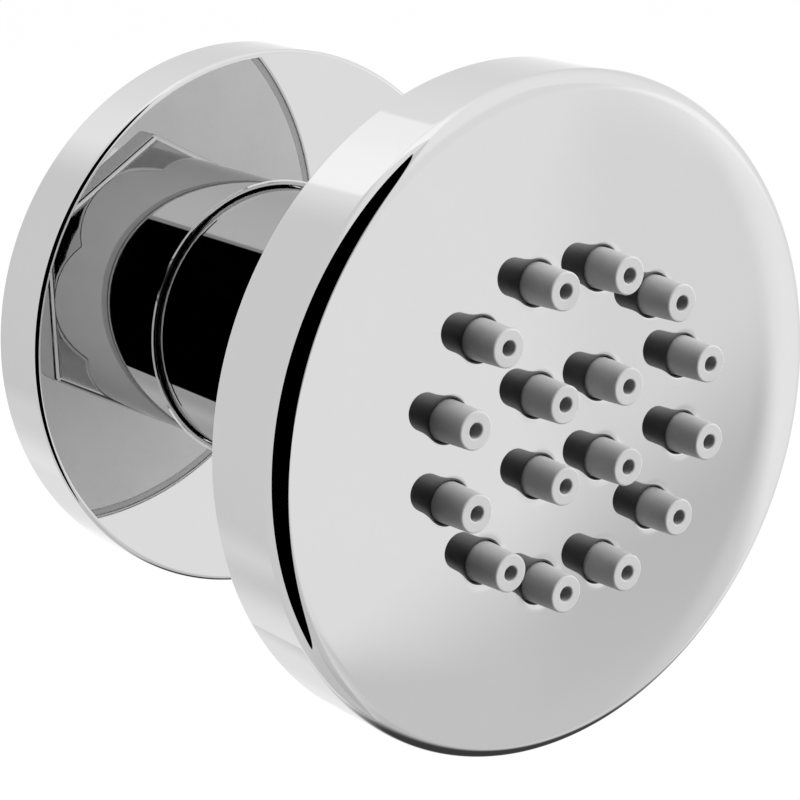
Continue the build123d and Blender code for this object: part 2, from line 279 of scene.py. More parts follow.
mould = {"detail": 3.0, "grainRoughness": 0.6, "cloudScale": 0.04, "cloudShare": 0.6, "grainShare": 0.4,
         "dark": (0.35, 0.65), "rough": (0.3, 0.7)}
mouldGrain, given, out = newGroup("mouldGrain", "Shader", [
    ("Vector", "Vector"), ("Color", "Color"), ("Dark", "Float"), ("Smooth", "Float"), ("Rough", "Float"),
    ("Size", "Float")], effectOutputs)
work = partial(calc, mouldGrain)
grain = noise(mouldGrain, given["Vector"], given["Size"], mould["detail"], mould["grainRoughness"])
cloud = noise(mouldGrain, given["Vector"], work("MULTIPLY", given["Size"], mould["cloudScale"]), mould["detail"])
mottle = work("MULTIPLY_ADD", cloud, mould["cloudShare"], work("MULTIPLY", grain, mould["grainShare"]))
darkness = work("MULTIPLY", span(mouldGrain, mottle, *mould["dark"]), given["Dark"])
coarse = span(mouldGrain, mottle, *mould["rough"], given["Smooth"], given["Rough"], "LINEAR")
plug(mouldGrain, blend(mouldGrain, darkness, given["Color"], blackColor, "MULTIPLY"), out["Color"])
plug(mouldGrain, coarse, out["Roughness"])
plug(mouldGrain, grain, out["Height"])

lathe = {"detail": 2.0, "roughness": 0.7, "size": 2600.0, "bump": 6e-6}
turningLines, given, out = newGroup(
    "turningLines", "Shader", [("Vector", "Vector"), ("Size", "Float")], [("Lines", "Float")])
work = partial(calc, turningLines)
apart = addNode(turningLines, "ShaderNodeSeparateXYZ", {0: given["Vector"]}).outputs
reach = work("SQRT", work("ADD", work("POWER", apart[0], 2.0), work("POWER", apart[2], 2.0)))
spot = addNode(turningLines, "ShaderNodeCombineXYZ", {0: reach, 1: apart[1]}).outputs[0]
plug(turningLines, noise(turningLines, spot, given["Size"], lathe["detail"], lathe["roughness"]), out["Lines"])


def newFinish(name, group, values, bumpHeight, **sockets):
    finish = bpy.data.materials.new(name)
    finish.use_nodes = True
    tree = finish.node_tree
    surface = tree.nodes["Principled BSDF"]
    place = addNode(tree, "ShaderNodeTexCoord").outputs["Object"]
    effect = addNode(tree, "ShaderNodeGroup", node_tree=group)
    plug(tree, place, effect.inputs["Vector"])
    for key, value in values.items():
        plug(tree, value, effect.inputs[key])
    bump = addNode(tree, "ShaderNodeBump", {"Height": effect.outputs["Height"], "Distance": bumpHeight})
    plug(tree, effect.outputs["Color"], surface.inputs["Base Color"])
    plug(tree, effect.outputs["Roughness"], surface.inputs["Roughness"])
    plug(tree, bump.outputs[0], surface.inputs["Normal"])
    for key, value in sockets.items():
        surface.inputs[key.replace("_", " ")].default_value = value
    return finish


def polished(name, color, sharp, dull, size):
    values = {"Color": (*color, 1), "Sharp": sharp, "Dull": dull, "Size": size}
    return newFinish(name, polishMarks, values, polish["bump"], Metallic=1.0, Specular_Tint=polish["edgeTint"])


def moulded(name, color, dark, smooth, rough, size, bumpHeight):
    values = {"Color": (*color, 1), "Dark": dark, "Smooth": smooth, "Rough": rough, "Size": size}
    return newFinish(name, mouldGrain, values, bumpHeight)


chrome = polished("polishedChrome", (0.60, 0.60, 0.60), 0.015, 0.045, 90.0)
ballChrome = polished("ballChrome", (0.58, 0.58, 0.58), 0.03, 0.08, 140.0)
steel = polished("screwSteel", (0.56, 0.56, 0.57), 0.18, 0.32, 600.0)
coverGrey = moulded("satinCover", (0.86, 0.86, 0.86), 0.05, 0.42, 0.52, 5200.0, 6e-6)
sealGrey = moulded("sealGrey", (0.58, 0.58, 0.58), 0.08, 0.5, 0.6, 5200.0, 6e-6)
silicone = moulded("nozzleSilicone", (0.64, 0.64, 0.64), 0.06, 0.40, 0.52, 6000.0, 5e-6)
rubber = moulded("blackRubber", (0.022, 0.022, 0.022), 0.35, 0.5, 0.68, 5200.0, 1.2e-5)
foam = moulded("blackFoam", (0.045, 0.045, 0.046), 0.5, 0.85, 0.98, 2600.0, 9e-5)
fibre = moulded("fibreWasher", (0.30, 0.085, 0.055), 0.4, 0.7, 0.9, 2200.0, 4e-5)
acetal = moulded("slipRingWhite", (0.82, 0.82, 0.80), 0.06, 0.3, 0.42, 4600.0, 3e-6)
seatWhite = moulded("seatWhite", (0.76, 0.76, 0.74), 0.08, 0.35, 0.5, 4600.0, 4e-6)
plateGrey = moulded("plateGrey", (0.42, 0.43, 0.44), 0.12, 0.4, 0.55, 3800.0, 8e-6)
regulatorBlue = moulded("regulatorBlue", (0.14, 0.28, 0.50), 0.1, 0.35, 0.5, 4200.0, 6e-6)
filterWhite = moulded("filterWhite", (0.80, 0.81, 0.80), 0.08, 0.38, 0.5, 4200.0, 6e-6)
brass = polished("turnedBrass", (0.68, 0.49, 0.22), 0.16, 0.34, 260.0)

paintedShade = {"mirrored": 0.75, "bore": 0.3}  # painted shade on the silicone: it is dimmed where the face mirrors it, as in the photograph, and inside the bores
tree = silicone.node_tree
glossy = addNode(tree, "ShaderNodeLightPath").outputs["Is Glossy Ray"]
# painted shade inside the bores, read from the points marked on the nozzle
bore = addNode(tree, "ShaderNodeAttribute", attribute_name="paintedBoreShade").outputs["Fac"]
paintedDarkness = calc(tree, "MAXIMUM", calc(tree, "MULTIPLY", glossy, paintedShade["mirrored"]),
              calc(tree, "MULTIPLY", bore, paintedShade["bore"]))
baseColor = tree.nodes["Principled BSDF"].inputs["Base Color"]
# the silicone colour is mixed towards black by this painted shade
plug(tree, blend(tree, paintedDarkness, baseColor.links[0].from_socket, blackColor), baseColor)

tree = brass.node_tree
lines = addNode(tree, "ShaderNodeGroup", {"Size": lathe["size"]}, node_tree=turningLines)
plug(tree, tree.nodes["Texture Coordinate"].outputs["Object"], lines.inputs["Vector"])
plug(tree, lines.outputs["Lines"], tree.nodes["Bump"].inputs["Height"])
tree.nodes["Bump"].inputs["Distance"].default_value = lathe["bump"]
print("finishes:", len(bpy.data.materials))

# wall flange, the gasket behind it and the dark seal in its seat
flange = {"radius": 26.4, "depth": 6.5, "edge": 0.5, "seat": 13.3175, "seatFloor": 4.6, "seatRound": 0.35,
          "beadFront": 6.55, "beadTop": 13.7575, "beadFoot": 13.9175, "beadRound": 0.1, "bore": 10.9775,
          "collarBack": 3.0, "collar": 14.9175, "inside": 4.7, "rim": 24.4, "soft": 0.15, "around": 256}
wallFlange = turnPiece("wallFlange", section(
    flange, ("rim", 0, "soft"), ("rim", "inside", "soft"), ("collar", "inside"), ("collar", "collarBack", "soft"),
    ("bore", "collarBack", "soft"), ("bore", "seatFloor"), ("seat", "seatFloor"), ("seat", "beadFront", "seatRound"),
    ("beadTop", "beadFront", "beadRound"), ("beadFoot", "depth"), ("radius", "depth", "edge"), ("radius", 0, "soft"),
), chrome, flange["around"])
dress(wallFlange, "wall_flange", "wall_part")

gasket = {"outer": 24.25, "inner": 21.25, "back": 0, "front": 4.7, "soft": 0.3}
flangeGasket = flatRing("flangeGasket", gasket, "back", foam)
dress(flangeGasket, "flange_gasket", "wall_part")

seal = {"outer": 12.8975, "inner": 10.9975, "back": 4.6, "front": 5.4, "soft": 0.12}
flangeSeal = flatRing("flangeSeal", seal, "front", rubber)
dress(flangeSeal, "flange_seal", "wall_part")
print("flange:", len(wallFlange.data.polygons), "faces")

# inlet nipple: pipe thread from a node tree, the rest turned
nipple = {"minor": 9.3155, "depth": 1.162, "pitch": 1.814, "back": -15.0, "front": 0.5, "around": 160, "along": 220,
          "ridge": (0.08, 0.92), "fadeBack": 1.1, "fadeFront": 0.8, "seam": 1e-7, "endSlack": 1e-3, "relief": 9.5775,
          "reliefEnd": 3.0, "major": 10.4775, "bore": 6.0, "cup": 9.4775, "cupSteps": 10, "ball": 22.5, "cavity": 9.8,
          "seatBore": 7.5, "seat": -4.0, "soft": 0.2, "round": 0.3}
threadTree, given, out = newTree("threadTurns", [
    ("Minor Radius", "Float"), ("Depth", "Float"), ("Pitch", "Float"), ("Back", "Float"), ("Length", "Float"),
    ("Around", "Int"), ("Along", "Int"), ("Material", "Material")])
work = partial(calc, threadTree)
sheet = addNode(threadTree, "GeometryNodeMeshGrid", {
    "Size X": given["Length"], "Size Y": 2 * pi, "Vertices X": given["Along"], "Vertices Y": given["Around"]})
gridPlace = addNode(threadTree, "GeometryNodeInputPosition").outputs[0]
where = addNode(threadTree, "ShaderNodeSeparateXYZ", {0: gridPlace}).outputs
lengthwise = work("ADD", where[0], work("MULTIPLY", given["Length"], 0.5))
pitches = work("DIVIDE", lengthwise, given["Pitch"])
pitchesLeft = work("DIVIDE", work("SUBTRACT", given["Length"], lengthwise), given["Pitch"])
turns = work("SUBTRACT", pitches, work("DIVIDE", where[1], 2 * pi))
wave = work("ABSOLUTE", work("MULTIPLY_ADD", work("FRACT", turns), 2.0, -1.0))
ridge = work("MULTIPLY", span(threadTree, wave, *nipple["ridge"]), given["Depth"])
fade = work("MULTIPLY", span(threadTree, pitches, 0.0, nipple["fadeBack"]),
            span(threadTree, pitchesLeft, 0.0, nipple["fadeFront"]))
reach = work("ADD", given["Minor Radius"], work("MULTIPLY", ridge, fade))
spot = addNode(threadTree, "ShaderNodeCombineXYZ", {
    0: work("MULTIPLY", reach, work("COSINE", where[1])),
    1: work("SUBTRACT", work("MULTIPLY", given["Back"], -1.0), lengthwise),
    2: work("MULTIPLY", reach, work("SINE", where[1]))})
rolled = addNode(threadTree, "GeometryNodeSetPosition", {
    "Geometry": sheet.outputs["Mesh"], "Position": spot.outputs[0]})
closed = addNode(threadTree, "GeometryNodeMergeByDistance", {
    "Geometry": rolled.outputs[0], "Distance": nipple["seam"]})
endTree(threadTree, closed.outputs[0], given, out)
threadTurns = grow("threadTurns", threadTree, {
    "Minor Radius": nipple["minor"] * mm, "Depth": nipple["depth"] * mm, "Pitch": nipple["pitch"] * mm,
    "Back": nipple["back"] * mm, "Length": (nipple["front"] - nipple["back"]) * mm,
    "Around": nipple["around"] + 1, "Along": nipple["along"], "Material": brass})
print("thread:", len(threadTurns.data.polygons), "faces")
shape = pieceMesh()
for polygon in threadTurns.data.polygons:
    corners = []
    for index in polygon.vertices:
        vertex = threadTurns.data.vertices[index]
        place = [value / mm for value in vertex.co]
        shade = vertex.normal.copy()
        if shade.x * place[0] + shade.z * place[2] < 0:
            shade.negate()
        for distance in (nipple["back"], nipple["front"]):  # the tube's ends meet the turned part
            if abs(place[1] + distance) < nipple["endSlack"]:
                angle = 2 * pi * round(atan2(place[2], place[0]) * nipple["around"] / (2 * pi)) / nipple["around"]
                place = [nipple["minor"] * cos(angle), -distance, nipple["minor"] * sin(angle)]
        corners.append((place, shade))
    shape.face(corners)
bpy.data.objects.remove(threadTurns)
cupAngles = [-atan2(sqrt(nipple["cavity"] ** 2 - edge ** 2), edge) for edge in (nipple["bore"], nipple["cup"])]
cupBack, cupFront = (nipple["ball"] + nipple["cavity"] * sin(angle) for angle in cupAngles)
turnOpen(shape, nipple, nipple["around"], ("minor", "back"), ("seatBore", "back", "round"), ("seatBore", "seat"),
         ("bore", "seat"), ("bore", cupBack))
cupArc = arcSteps((0, nipple["ball"]), nipple["cavity"], *cupAngles, nipple["cupSteps"], True)
turnSteps(shape, cupArc, nipple["around"])
turnOpen(shape, nipple, nipple["around"], ("cup", cupFront), ("major", cupFront, "soft"),
         ("major", "reliefEnd", "round"), ("relief", "reliefEnd", "soft"), ("relief", "front"), ("minor", "front"))
inletNipple = shape.build("inletNipple", brass)
dress(inletNipple, "inlet_nipple", "wall_part")

washer = {"outer": 9.4775, "inner": 5.5, "back": -16.5, "front": -15.0, "soft": 0.2}
inletWasher = flatRing("inletWasher", washer, "back", fibre)
dress(inletWasher, "inlet_washer", "wall_part")
print("inlet:", len(inletNipple.data.polygons), "faces on the nipple")

# strainer cup: rim and floor turned, the bars between its slots from a node tree
strainer = {"rim": 7.48, "outer": 6.18, "inner": 5.58, "back": -15.0, "rimFront": -14.4, "slotBack": -13.8,
            "slotFront": -11.2, "floorBack": -10.6, "front": -10.0, "slots": 10, "slotWidth": 0.9, "soft": 0.12,
            "around": 120, "barInset": 0.03, "barSink": 0.1, "barSteps": 8}
shape = pieceMesh()
turnSteps(shape, sectionSteps(section(
    strainer, ("inner", "back", "soft"), ("inner", "slotBack"), ("outer", "slotBack"), ("outer", "rimFront"),
    ("rim", "rimFront", "soft"), ("rim", "back", "soft"))), strainer["around"])
turnSteps(shape, sectionSteps(section(
    strainer, ("inner", "floorBack"), (0, "floorBack"), (0, "front"), ("outer", "front", "soft"),
    ("outer", "slotFront"), ("inner", "slotFront"))), strainer["around"])
strainerCup = shape.build("strainerCup", filterWhite)
shape = pieceMesh()
halfBar = pi / strainer["slots"] - strainer["slotWidth"] / (strainer["inner"] + strainer["outer"])
barInner, barOuter = strainer["inner"] + strainer["barInset"], strainer["outer"] - strainer["barInset"]
barBack, barFront = strainer["slotBack"] - strainer["barSink"], strainer["slotFront"] + strainer["barSink"]
barCorners = [(barInner, barBack), (barInner, barFront), (barOuter, barFront), (barOuter, barBack)]
barAngles = [-halfBar + 2 * halfBar * k / strainer["barSteps"] for k in range(strainer["barSteps"] + 1)]
sweepSteps(shape, sectionSteps(barCorners), barAngles)  # each bar is closed, its ends sunk into rim and floor
for angle, side in ((barAngles[0], -1), (barAngles[-1], 1)):
    shade = (-side * sin(angle), 0, side * cos(angle))
    shape.face([((radius * cos(angle), -distance, radius * sin(angle)), shade) for radius, distance in barCorners])
strainerBar = shape.build("strainerBar", filterWhite)
barTree, given, out = newTree("strainerBars", [
    ("Cup", "Object"), ("Bar", "Object"), ("Bars", "Int"), ("Material", "Material")])
spots = addNode(barTree, "GeometryNodeMeshLine", {"Count": given["Bars"], "Offset": (0, 0, 0)})
index = addNode(barTree, "GeometryNodeInputIndex").outputs[0]
swing = calc(barTree, "DIVIDE", calc(barTree, "MULTIPLY", index, 2 * pi), given["Bars"])
swung = addNode(barTree, "FunctionNodeEulerToRotation", {
    0: addNode(barTree, "ShaderNodeCombineXYZ", {1: swing}).outputs[0]})
placed = addNode(barTree, "GeometryNodeInstanceOnPoints", {
    "Points": spots.outputs[0], "Rotation": swung.outputs[0], "Instance": shapeOf(barTree, given["Bar"])})
endTree(barTree, joined(barTree, placed.outputs[0], shapeOf(barTree, given["Cup"])), given, out)
inletFilter = grow("inletFilter", barTree, {
    "Cup": strainerCup, "Bar": strainerBar, "Bars": strainer["slots"], "Material": filterWhite})
for helper in (strainerCup, strainerBar):
    bpy.data.objects.remove(helper)
dress(inletFilter, "inlet_filter", "wall_part")
print("strainer:", len(inletFilter.data.polygons), "faces")

# swivel nut: round skirt, and a hexagon with all its edges rounded, drawn as a loft around the axis
nut = {"skirt": 13.1975, "back": 5.4, "chamfer": 0.3, "hexBack": 25.3, "front": 28.9, "flats": 13.5, "round": 0.65,
       "bore": 10.5275, "boreFront": 20.3, "ball": 22.5, "cavity": 9.8, "mouthEdge": 0.5, "mouthSlope": 0.55,
       "sideSteps": 14, "cornerSteps": 8, "arcSteps": 6, "cavitySteps": 10}
tipReach = (nut["flats"] - nut["round"]) / cos(pi / 6)
stations = []  # a point of the inset hexagon and the way its side faces there
for side in range(6):
    faceAngle = pi * side / 3
    tipStart, tipEnd = ((tipReach * cos(faceAngle + swing), tipReach * sin(faceAngle + swing))
                        for swing in (-pi / 6, pi / 6))
    for k in range(nut["sideSteps"] + 1):
        share = k / nut["sideSteps"]
        stations.append((tuple(a + (b - a) * share for a, b in zip(tipStart, tipEnd)), faceAngle))
    for k in range(1, nut["cornerSteps"]):
        stations.append((tipEnd, faceAngle + pi / 3 * k / nut["cornerSteps"]))


def hexEdge(station, lift, distance, sign):  # on the rounded edge, lift 0 at the flat end, 90 degrees at the side
    (x, z), facing = station
    out = nut["round"] * sin(lift)
    rise = nut["round"] * cos(lift) * sign
    place = (x + out * cos(facing), -(distance + rise), z + out * sin(facing))
    return place, (sin(lift) * cos(facing), -cos(lift) * sign, sin(lift) * sin(facing))


def nutChain(station):  # the whole section at a station, from the skirt's back edge round to the bore
    (x, z), facing = station
    reach, angle = hypot(x, z), atan2(z, x)
    low, high = nut["hexBack"] + nut["round"], nut["front"] - nut["round"]
    startLift = 0.0
    if reach < nut["skirt"]:  # the skirt covers the start of the rounded edge here
        slant = cos(facing - angle) * reach
        startOut = -slant + sqrt(slant ** 2 - reach ** 2 + nut["skirt"] ** 2)
        startLift = atan2(startOut, sqrt(nut["round"] ** 2 - startOut ** 2))
    meeting = hexEdge(station, startLift, low, -1)[0]
    meetAngle = atan2(meeting[2], meeting[0])

    def ring(radius, distance, shade, turn=angle):
        return turnedSpot(radius, distance, shade, turn)

    outside, inside, forwards, backwards = (1, 0), (-1, 0), (0, 1), (0, -1)
    slope = (sqrt(0.5), -sqrt(0.5))
    skirt, heel, chamferFront = nut["skirt"], nut["skirt"] - nut["chamfer"], nut["back"] + nut["chamfer"]
    chain = [[ring(heel, nut["back"], slope, meetAngle), ring(skirt, chamferFront, slope, meetAngle)],
             [ring(skirt, chamferFront, outside, meetAngle), ring(skirt, -meeting[1], outside, meetAngle)],
             [ring(skirt, -meeting[1], backwards, meetAngle), (meeting, (0, 1, 0))]]
    shares = [k / nut["arcSteps"] for k in range(nut["arcSteps"] + 1)]
    edge = [hexEdge(station, startLift + (pi / 2 - startLift) * share, low, -1) for share in shares]
    edge += [hexEdge(station, pi / 2 - pi / 2 * share, high, 1) for share in shares]
    chain += zip(edge, edge[1:])
    mouthLow = nut["front"] - nut["mouthEdge"]
    mouthRadius = sqrt(nut["cavity"] ** 2 - (mouthLow - nut["ball"]) ** 2)
    lip = mouthRadius + nut["mouthEdge"] * nut["mouthSlope"]
    chain.append([(edge[-1][0], (0, -1, 0)), ring(lip, nut["front"], forwards)])
    slope = Vector((-nut["mouthEdge"], lip - mouthRadius)).normalized()
    chain.append([ring(lip, nut["front"], slope), ring(mouthRadius, mouthLow, slope)])
    ledgeDepth = nut["ball"] - nut["boreFront"]
    ledge = sqrt(nut["cavity"] ** 2 - ledgeDepth ** 2)
    start, end = atan2(mouthLow - nut["ball"], mouthRadius), -atan2(ledgeDepth, ledge)
    for step in arcSteps((0, nut["ball"]), nut["cavity"], start, end, nut["cavitySteps"], True):
        chain.append([ring(*step[0], step[1]), ring(*step[2], step[3])])
    chain.append([ring(ledge, nut["boreFront"], backwards), ring(nut["bore"], nut["boreFront"], backwards)])
    chain.append([ring(nut["bore"], nut["boreFront"], inside), ring(nut["bore"], nut["back"], inside)])
    chain.append([ring(nut["bore"], nut["back"], backwards), ring(heel, nut["back"], backwards, meetAngle)])
    return chain


shape = pieceMesh()
chains = [nutChain(station) for station in stations]
for chain, following in zip(chains, chains[1:] + chains[:1]):
    for here, there in zip(chain, following):
        shape.face([here[0], here[1], there[1], there[0]])
swivelNut = shape.build("swivelNut", chrome)
dress(swivelNut, "swivel_nut", "wall_part")
print("nut:", len(swivelNut.data.polygons), "faces")

# ball with its neck, and the slip ring in the nut's mouth
ball = {"centre": 22.5, "radius": 8.0, "tail": 17.1, "neck": 4.5, "collarBack": 32.9, "collar": 6.5,
        "collarFront": 34.4, "stub": 4.0, "stubFront": 40.4, "bore": 2.6, "soft": 0.25, "steps": 36}
tailDepth = ball["centre"] - ball["tail"]
tailAngle = -atan2(tailDepth, sqrt(ball["radius"] ** 2 - tailDepth ** 2))
neckAngle = atan2(sqrt(ball["radius"] ** 2 - ball["neck"] ** 2), ball["neck"])
neckFoot = ball["centre"] + ball["radius"] * sin(neckAngle)
tailEdge = ball["radius"] * cos(tailAngle)
shape = pieceMesh()
turnSteps(shape, arcSteps((0, ball["centre"]), ball["radius"], neckAngle, tailAngle, ball["steps"]))
turnOpen(shape, ball, fineness["around"], (tailEdge, "tail"), ("bore", "tail"), ("bore", "stubFront"),
         ("stub", "stubFront"), ("stub", "collarFront"), ("collar", "collarFront", "soft"),
         ("collar", "collarBack", "soft"), ("neck", "collarBack", "soft"), ("neck", neckFoot))
swivelBall = shape.build("swivelBall", ballChrome)
dress(swivelBall, "swivel_ball", "head")

slipRing = {"centre": 22.5, "inner": 8.3, "outer": 9.5, "front": 58.0, "back": 84.0, "steps": 10}
frontAngle, backAngle = (pi / 2 - radians(slipRing[key]) for key in ("front", "back"))
middle, steps = (0, slipRing["centre"]), slipRing["steps"]
shape = pieceMesh()
turnSteps(shape, arcSteps(middle, slipRing["outer"], frontAngle, backAngle, steps))
turnSteps(shape, arcSteps(middle, slipRing["inner"], backAngle, frontAngle, steps, True))
for angle, order in ((backAngle, ("outer", "inner")), (frontAngle, ("inner", "outer"))):
    ends = [(slipRing[key] * cos(angle), slipRing["centre"] + slipRing[key] * sin(angle)) for key in order]
    turnSteps(shape, lineStep(*ends))
ballRing = shape.build("ballRing", acetal)
dress(ballRing, "ball_ring", "tilt_ring")

neckWasher = {"outer": 6.5, "inner": 4.05, "back": 34.4, "front": 35.4, "soft": 0.15}
neckSeal = flatRing("neckSeal", neckWasher, "outer", rubber)
dress(neckSeal, "neck_seal", "head")

# back cover with its boss, and the seal round it
cover = {"stub": 4.05, "bossBack": 35.4, "bossTop": 10.1056, "bossFoot": 11.7056, "back": 39.9, "radius": 28.8,
         "inside": 42.4, "rim": 25.8, "web": 41.5, "bossInside": 8.1056, "floor": 37.4, "edge": 0.35, "fillet": 0.5,
         "soft": 0.12, "around": 224}
backCover = turnPiece("backCover", section(
    cover, ("stub", "bossBack"), ("stub", "floor"), ("bossInside", "floor"), ("bossInside", "web"), ("rim", "web"),
    ("rim", "inside"), ("radius", "inside"), ("radius", "back", "soft"), ("bossFoot", "back", "fillet"),
    ("bossTop", "bossBack", "edge")), coverGrey, cover["around"])
dress(backCover, "back_cover", "head")

rimSeal = {"outer": 29.58, "inner": 28.85, "back": 40.02, "front": 41.2, "soft": 0.08, "around": 224}
coverSeal = flatRing("coverSeal", rimSeal, "back", sealGrey, rimSeal["around"])
dress(coverSeal, "cover_seal", "head")
print("neck and cover:", len(swivelBall.data.polygons) + len(backCover.data.polygons), "faces")

# face shell: turned side, and two sheets with the nozzle holes from a node tree
shell = {"radius": 30.0, "back": 39.9, "backRound": 0.3, "apex": 49.7, "domeRadius": 1060.0, "edgeRound": 1.9,
         "edgeSteps": 18, "edgePoints": 256, "edgeTries": 6, "lip": 29.6, "lipRound": 0.08, "ledge": 41.2, "rim": 28.85,
         "step": 42.4, "inner": 27.0, "inside": 47.0, "shoulder": 21.5, "shoulderWidth": 6.9, "shoulderSteps": 14,
         "shoulderLean": 6.0, "shoulderPower": 1.8, "hole": 1.88, "holeSlack": 1.01, "holePoints": 48,
         "holeRound": 0.85, "holeLean": (3.5, 60.0), "holePower": 6, "rimSteps": 12}
rings = {"outer": 13.675, "outerCount": 12, "inner": 5.05, "innerCount": 4}
ringSockets = [("Outer Holes", "Int"), ("Outer Ring", "Float"), ("Inner Holes", "Int"), ("Inner Ring", "Float")]
ringInputs = {"Outer Holes": rings["outerCount"], "Outer Ring": rings["outer"] * mm,
              "Inner Holes": rings["innerCount"], "Inner Ring": rings["inner"] * mm}
holes = []
for label in ("outer", "inner"):
    count = rings[label + "Count"]
    for k in range(count):
        angle = 2 * pi * (k + 0.5) / count
        holes.append((rings[label] * cos(angle), rings[label] * sin(angle)))
domeRadius, edgeCentre = shell["domeRadius"], shell["radius"] - shell["edgeRound"]
domeCentre = shell["apex"] - domeRadius


def leanAt(radius):  # the face bends a little more towards its edge
    share = max(0.0, (radius - shell["shoulder"]) / shell["shoulderWidth"])
    return radius / domeRadius + radians(shell["shoulderLean"]) * share ** shell["shoulderPower"]


def domePoint(x, z):
    rise = sqrt(domeRadius ** 2 - x * x - z * z)
    return (x, -(domeCentre + rise), z), (x / domeRadius, -rise / domeRadius, z / domeRadius)


def flatPoint(x, z):
    return (x, -shell["inside"], z), (0, 1, 0)


sheetRadius = edgeCentre  # where the face meets its rounded edge, found in a few tries
for attempt in range(shell["edgeTries"]):
    sheetRadius = edgeCentre + shell["edgeRound"] * sin(leanAt(sheetRadius))
width = (sheetRadius - shell["shoulder"]) / shell["shoulderSteps"]
height = domeCentre + sqrt(domeRadius ** 2 - shell["shoulder"] ** 2)
shoulderSpots = []
for i in range(shell["shoulderSteps"] + 1):
    radius = shell["shoulder"] + i * width
    shoulderSpots.append(((radius, height), (sin(leanAt(radius)), cos(leanAt(radius)))))
    height -= width * tan(leanAt(radius + width / 2))
edgeDistance = shoulderSpots[-1][0][1] - shell["edgeRound"] * cos(leanAt(sheetRadius))
edgeAngle = pi / 2 - leanAt(sheetRadius)
print("face edge:", round(sheetRadius, 3), round(edgeDistance, 3))


def ringSpots(tree, given, flat):  # points of both nozzle rings, each turned by half a step
    both = []
    for label in ("Outer", "Inner"):
        circle = addNode(tree, "GeometryNodeMeshCircle", {
            "Vertices": given[label + " Holes"], "Radius": given[label + " Ring"]})
        half = calc(tree, "DIVIDE", pi, given[label + " Holes"])
        angles = {2: half} if flat else {0: pi / 2, 1: calc(tree, "MULTIPLY", half, -1.0)}
        turned = addNode(tree, "ShaderNodeCombineXYZ", angles)
        moved = addNode(tree, "GeometryNodeTransform", {"Geometry": circle.outputs[0], "Rotation": turned.outputs[0]})
        both.append(moved.outputs[0])
    return joined(tree, *both)


sheetTree, given, out = newTree("perforatedSheet", [
    ("Edge Radius", "Float"), ("Edge Points", "Int"), ("Hole Radius", "Float"), ("Hole Points", "Int"),
    *ringSockets, ("Material", "Material")])
border, cutter = (addNode(sheetTree, "GeometryNodeCurvePrimitiveCircle", {
    "Resolution": given[label + " Points"], "Radius": given[label + " Radius"]}) for label in ("Edge", "Hole"))
cut = addNode(sheetTree, "GeometryNodeInstanceOnPoints", {
    "Points": ringSpots(sheetTree, given, True), "Instance": cutter.outputs[0]})
realCut = addNode(sheetTree, "GeometryNodeRealizeInstances", {"Geometry": cut.outputs[0]})
filled = addNode(sheetTree, "GeometryNodeFillCurve", {
    "Curve": joined(sheetTree, border.outputs[0], realCut.outputs[0])}, mode="TRIANGLES")
endTree(sheetTree, filled.outputs[0], given, out)


def addSheet(shape, name, edge, hole, lay):
    made = grow(name, sheetTree, {
        "Edge Radius": edge * mm, "Edge Points": shell["edgePoints"], "Hole Radius": hole * mm,
        "Hole Points": shell["holePoints"], **ringInputs, "Material": chrome})
    places = []
    for vertex in made.data.vertices:  # every point is on the border or on a hole, and is put exactly there
        x, z = vertex.co.x / mm, vertex.co.y / mm
        centre = min(holes, key=lambda spot: hypot(x - spot[0], z - spot[1]))
        radius, count = hole, shell["holePoints"]
        if hypot(x - centre[0], z - centre[1]) > hole * shell["holeSlack"]:
            centre, radius, count = (0, 0), edge, shell["edgePoints"]
        angle = 2 * pi * (round(atan2(z - centre[1], x - centre[0]) * count / (2 * pi)) % count) / count
        places.append((centre[0] + radius * cos(angle), centre[1] + radius * sin(angle)))
    for polygon in made.data.polygons:
        shape.face([lay(*places[index]) for index in polygon.vertices])
    bpy.data.objects.remove(made)


shape = pieceMesh()
addSheet(shape, "frontSheet", shell["shoulder"], shell["hole"] + shell["holeRound"], domePoint)
turnSteps(shape, pairs(shoulderSpots), shell["edgePoints"])
addSheet(shape, "innerSheet", shell["inner"], shell["hole"], flatPoint)
edgeArc = arcSteps((edgeCentre, edgeDistance), shell["edgeRound"], edgeAngle, 0, shell["edgeSteps"])
turnSteps(shape, edgeArc, shell["edgePoints"])
turnOpen(shape, shell, shell["edgePoints"], ("radius", edgeDistance), ("radius", "back", "backRound"),
         ("lip", "back", "lipRound"), ("lip", "ledge"), ("rim", "ledge"), ("rim", "step"), ("inner", "step"),
         ("inner", "inside"))


def dimpleLean(share):  # a soft dimple, much steeper next to the hole
    gentle, steep = shell["holeLean"]
    return radians(gentle * share + steep * share ** shell["holePower"])


wide, rimStep = shell["hole"] + shell["holeRound"], shell["holeRound"] / shell["rimSteps"]
for centre in holes:
    rims = []
    for k in range(shell["holePoints"]):
        angle = 2 * pi * k / shell["holePoints"]
        outward = Vector((cos(angle), 0, sin(angle)))
        top, facing = domePoint(centre[0] + wide * cos(angle), centre[1] + wide * sin(angle))
        column, depth = [], 0.0
        for i in range(shell["rimSteps"] + 1):
            share = i / shell["rimSteps"]
            lean = dimpleLean(share)
            place = Vector(top) - outward * shell["holeRound"] * share + Vector((0, depth, 0))
            shade = tuple((Vector(facing) * cos(lean) - outward * sin(lean)).normalized())
            column.append((tuple(place) if i else top, shade))  # the first point is the sheet's own
            depth += rimStep * tan(dimpleLean(share + 0.5 / shell["rimSteps"]))
        foot = flatPoint(centre[0] + shell["hole"] * cos(angle), centre[1] + shell["hole"] * sin(angle))[0]
        column.append((foot, tuple(-outward)))
        rims.append(column)
    for column, following in zip(rims, rims[1:] + rims[:1]):
        for i in range(len(column) - 1):
            shape.face([column[i], column[i + 1], following[i + 1], following[i]])
faceShell = shape.build("faceShell", chrome)
dress(faceShell, "face_shell", "head")
print("face shell:", len(faceShell.data.polygons), "faces")

